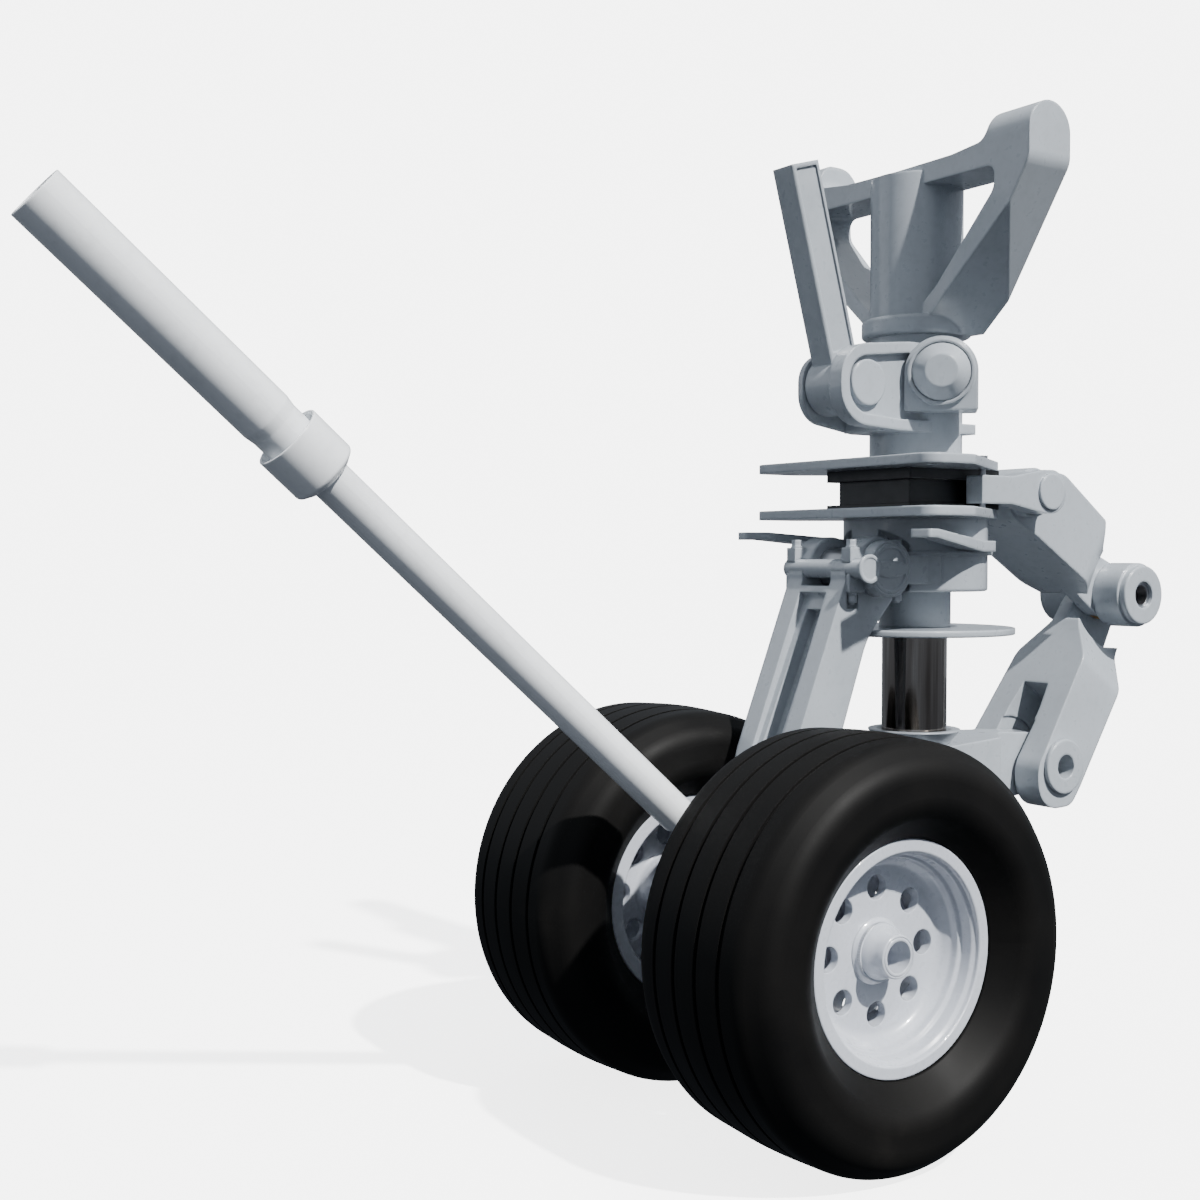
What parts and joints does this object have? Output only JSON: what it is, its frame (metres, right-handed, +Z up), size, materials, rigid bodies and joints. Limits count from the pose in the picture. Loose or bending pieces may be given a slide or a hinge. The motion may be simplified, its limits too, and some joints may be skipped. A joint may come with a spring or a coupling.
{
  "type": "aircraft nose landing gear leg",
  "caption": "Steerable aircraft nose leg with a trunnion yoke, a sliding strut, torque links, wheels side by side and a telescopic bar on a swinging arm.",
  "frame": {"origin": "middle of the trunnion axis, on the centre line of the shock strut", "axes": "+X along the trunnion and the axle, towards the side with the D-shaped block; +Y aft, towards the torque links; +Z up along the strut"},
  "size_m": [0.9454, 2.4672, 1.9322],
  "materials": {
    "leg_paint": "smooth semi-gloss light grey enamel",
    "bar_paint": "smooth semi-gloss pale grey enamel",
    "wheel_paint": "glossy silver-white enamel",
    "dark_paint": "satin near-black enamel",
    "dark_chrome": "polished dark hard chrome",
    "steel": "ground steel",
    "bronze": "plain bearing bronze",
    "tyre_rubber": "satin black rubber"
  },
  "bodies": {
    "leg": {"main_fitting": "leg_paint", "cylinder_cap": "steel", "charging_valve": "steel", "orifice_tube": "steel", "lower_bearing": "bronze", "gland_flange": "leg_paint", "boss_block": "leg_paint", "boss_cone": "leg_paint", "link_bushes": "leg_paint", "link_pin": "leg_paint"},
    "link_post": {"upper_link_post": "leg_paint"},
    "steering": {"upper_plate": "leg_paint", "lower_plate": "leg_paint", "steering_box": "dark_paint", "torque_bracket": "leg_paint", "plate_bolts": "steel", "upper_torque_pin": "leg_paint", "steering_collar": "leg_paint", "steering_bushes": "bronze", "shaft_end_caps": "leg_paint", "horn_right": "leg_paint", "horn_left": "leg_paint"},
    "upper_link": {"upper_torque_link": "leg_paint"},
    "arm": {"drag_arm": "leg_paint", "cross_shaft": "steel", "clamp_caps": "leg_paint", "clamp_bolts": "leg_paint", "clamp_nuts": "leg_paint", "tie_tube": "leg_paint", "elbow_pin": "steel"},
    "bar_inner": {"bar_rod": "bar_paint", "rod_guide_ring": "bronze"},
    "bar_outer": {"bar_tube": "bar_paint", "bar_collar": "bar_paint", "bar_end_plug": "bar_paint"},
    "strut": {"piston": "dark_chrome", "piston_bearing": "bronze", "metering_pin": "steel", "axle_fitting": "leg_paint", "axle": "wheel_paint", "axle_nuts": "steel", "lower_torque_pin": "leg_paint"},
    "lower_link": {"lower_torque_link": "leg_paint", "apex_barrels": "leg_paint", "apex_pin": "steel", "apex_washer": "bronze"},
    "wheel_right": {"tyre_right": "tyre_rubber", "outer_rim_right": "wheel_paint", "inner_rim_right": "wheel_paint", "tie_bolts_right": "steel", "wheel_bearings_right": "steel", "hub_cover_right": "dark_paint"},
    "wheel_left": {"tyre_left": "tyre_rubber", "outer_rim_left": "wheel_paint", "inner_rim_left": "wheel_paint", "tie_bolts_left": "steel", "wheel_bearings_left": "steel", "hub_cover_left": "dark_paint"}
  },
  "joints": [
    {"name": "steering", "type": "hinge", "parent": "leg", "child": "steering", "pos_m": [0, 0, -0.7], "axis": [0, 0, 1], "range_deg": [-70, 70]},
    {"name": "link_post_pivot", "type": "hinge", "parent": "leg", "child": "link_post", "pos_m": [0, -0.213, -0.462], "axis": [1, 0, 0], "range_deg": [-15, 40]},
    {"name": "strut_slide", "type": "slide", "parent": "steering", "child": "strut", "axis": [0, 0, 1], "range_m": [0, 0.1]},
    {"name": "upper_torque_hinge", "type": "hinge", "parent": "steering", "child": "upper_link", "pos_m": [0, 0.225, -0.669], "axis": [1, 0, 0], "range_deg": [0, 10.8]},
    {"name": "lower_torque_hinge", "type": "hinge", "parent": "strut", "child": "lower_link", "pos_m": [0, 0.336, -1.2565], "axis": [1, 0, 0], "range_deg": [-5.9, 0]},
    {"name": "arm_swing", "type": "hinge", "parent": "steering", "child": "arm", "pos_m": [0, -0.19, -0.828], "axis": [1, 0, 0], "range_deg": [-12, 0]},
    {"name": "bar_pivot", "type": "hinge", "parent": "arm", "child": "bar_inner", "pos_m": [0, -0.56, -1.3384], "axis": [1, 0, 0], "range_deg": [-20, 48]},
    {"name": "bar_extend", "type": "slide", "parent": "bar_inner", "child": "bar_outer", "axis": [0, -0.7525, 0.6586], "range_m": [-0.15, 0.25]},
    {"name": "wheel_spin_right", "type": "hinge", "parent": "strut", "child": "wheel_right", "pos_m": [0.2954, -0.443, -1.494], "axis": [1, 0, 0], "continuous": true},
    {"name": "wheel_spin_left", "type": "hinge", "parent": "strut", "child": "wheel_left", "pos_m": [-0.2954, -0.443, -1.494], "axis": [1, 0, 0], "continuous": true}
  ],
  "couplings": [
    {"joint": "upper_torque_hinge", "follows": "strut_slide", "rad_per_m": 1.8766},
    {"joint": "lower_torque_hinge", "follows": "strut_slide", "rad_per_m": -1.0147}
  ]
}
